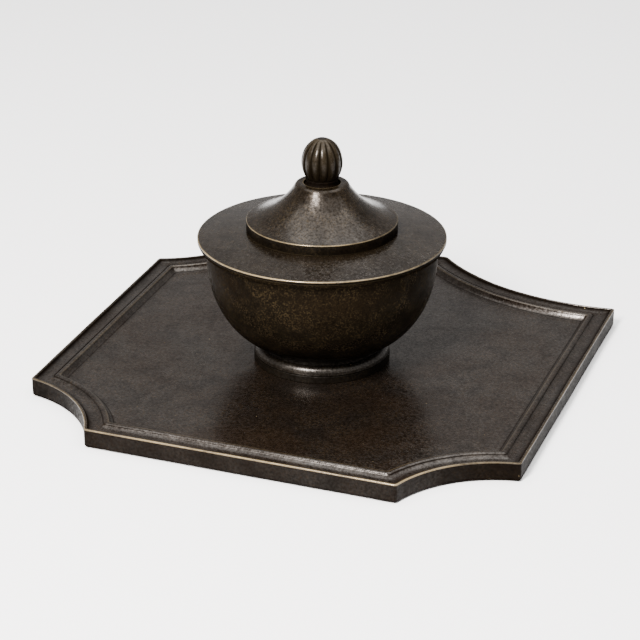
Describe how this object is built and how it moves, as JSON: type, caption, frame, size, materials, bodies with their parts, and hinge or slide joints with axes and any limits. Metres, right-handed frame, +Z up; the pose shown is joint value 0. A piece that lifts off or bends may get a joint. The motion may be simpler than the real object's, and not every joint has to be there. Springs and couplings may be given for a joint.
{
  "type": "inkwell",
  "caption": "Footed round inkwell with a coned lid, wide collar and glass liner, standing on a moulded bronze tray with hollow corners.",
  "frame": {"origin": "on the standing surface, under the middle of the tray", "axes": "+Z up, +X to the right along the tray's front edge, +Y from the front edge to the back"},
  "size_m": [0.25, 0.258, 0.1184],
  "materials": {
    "tray_bronze": "dark brown patina, mottled, worn bright on the edges",
    "well_bronze": "dark olive brown patina, satin",
    "lid_bronze": "brown patina, satin, worn bright on the edges",
    "finial_bronze": "brown patina, rubbed bright on the lobes",
    "inner_bronze": "dark, unpolished",
    "fixing_brass": "dulled brass",
    "cork": "pressed cork",
    "felt": "dense green felt",
    "liner_glass": "clear pressed glass"
  },
  "bodies": {
    "stand": {"tray": "tray_bronze", "felt_feet": "felt", "foot_ring": "well_bronze", "bowl": "well_bronze", "base_screw": "fixing_brass", "base_washer": "fixing_brass", "base_nut": "fixing_brass"},
    "collar": {"collar": "lid_bronze", "collar_spigot": "inner_bronze", "liner_seat_ring": "cork"},
    "liner": {"glass_liner": "liner_glass"},
    "lid": {"lid": "lid_bronze", "lid_spigot": "inner_bronze", "finial": "finial_bronze", "finial_neck": "inner_bronze", "finial_stud": "fixing_brass", "finial_washer": "fixing_brass", "finial_nut": "fixing_brass"}
  },
  "joints": [
    {"name": "collar_lift", "type": "slide", "parent": "stand", "child": "collar", "axis": [0, 0, 1], "range_m": [0, 0.06]},
    {"name": "liner_lift", "type": "slide", "parent": "collar", "child": "liner", "axis": [0, 0, 1], "range_m": [0, 0.055]},
    {"name": "lid_lift", "type": "slide", "parent": "liner", "child": "lid", "axis": [0, 0, 1], "range_m": [0, 0.06]}
  ]
}
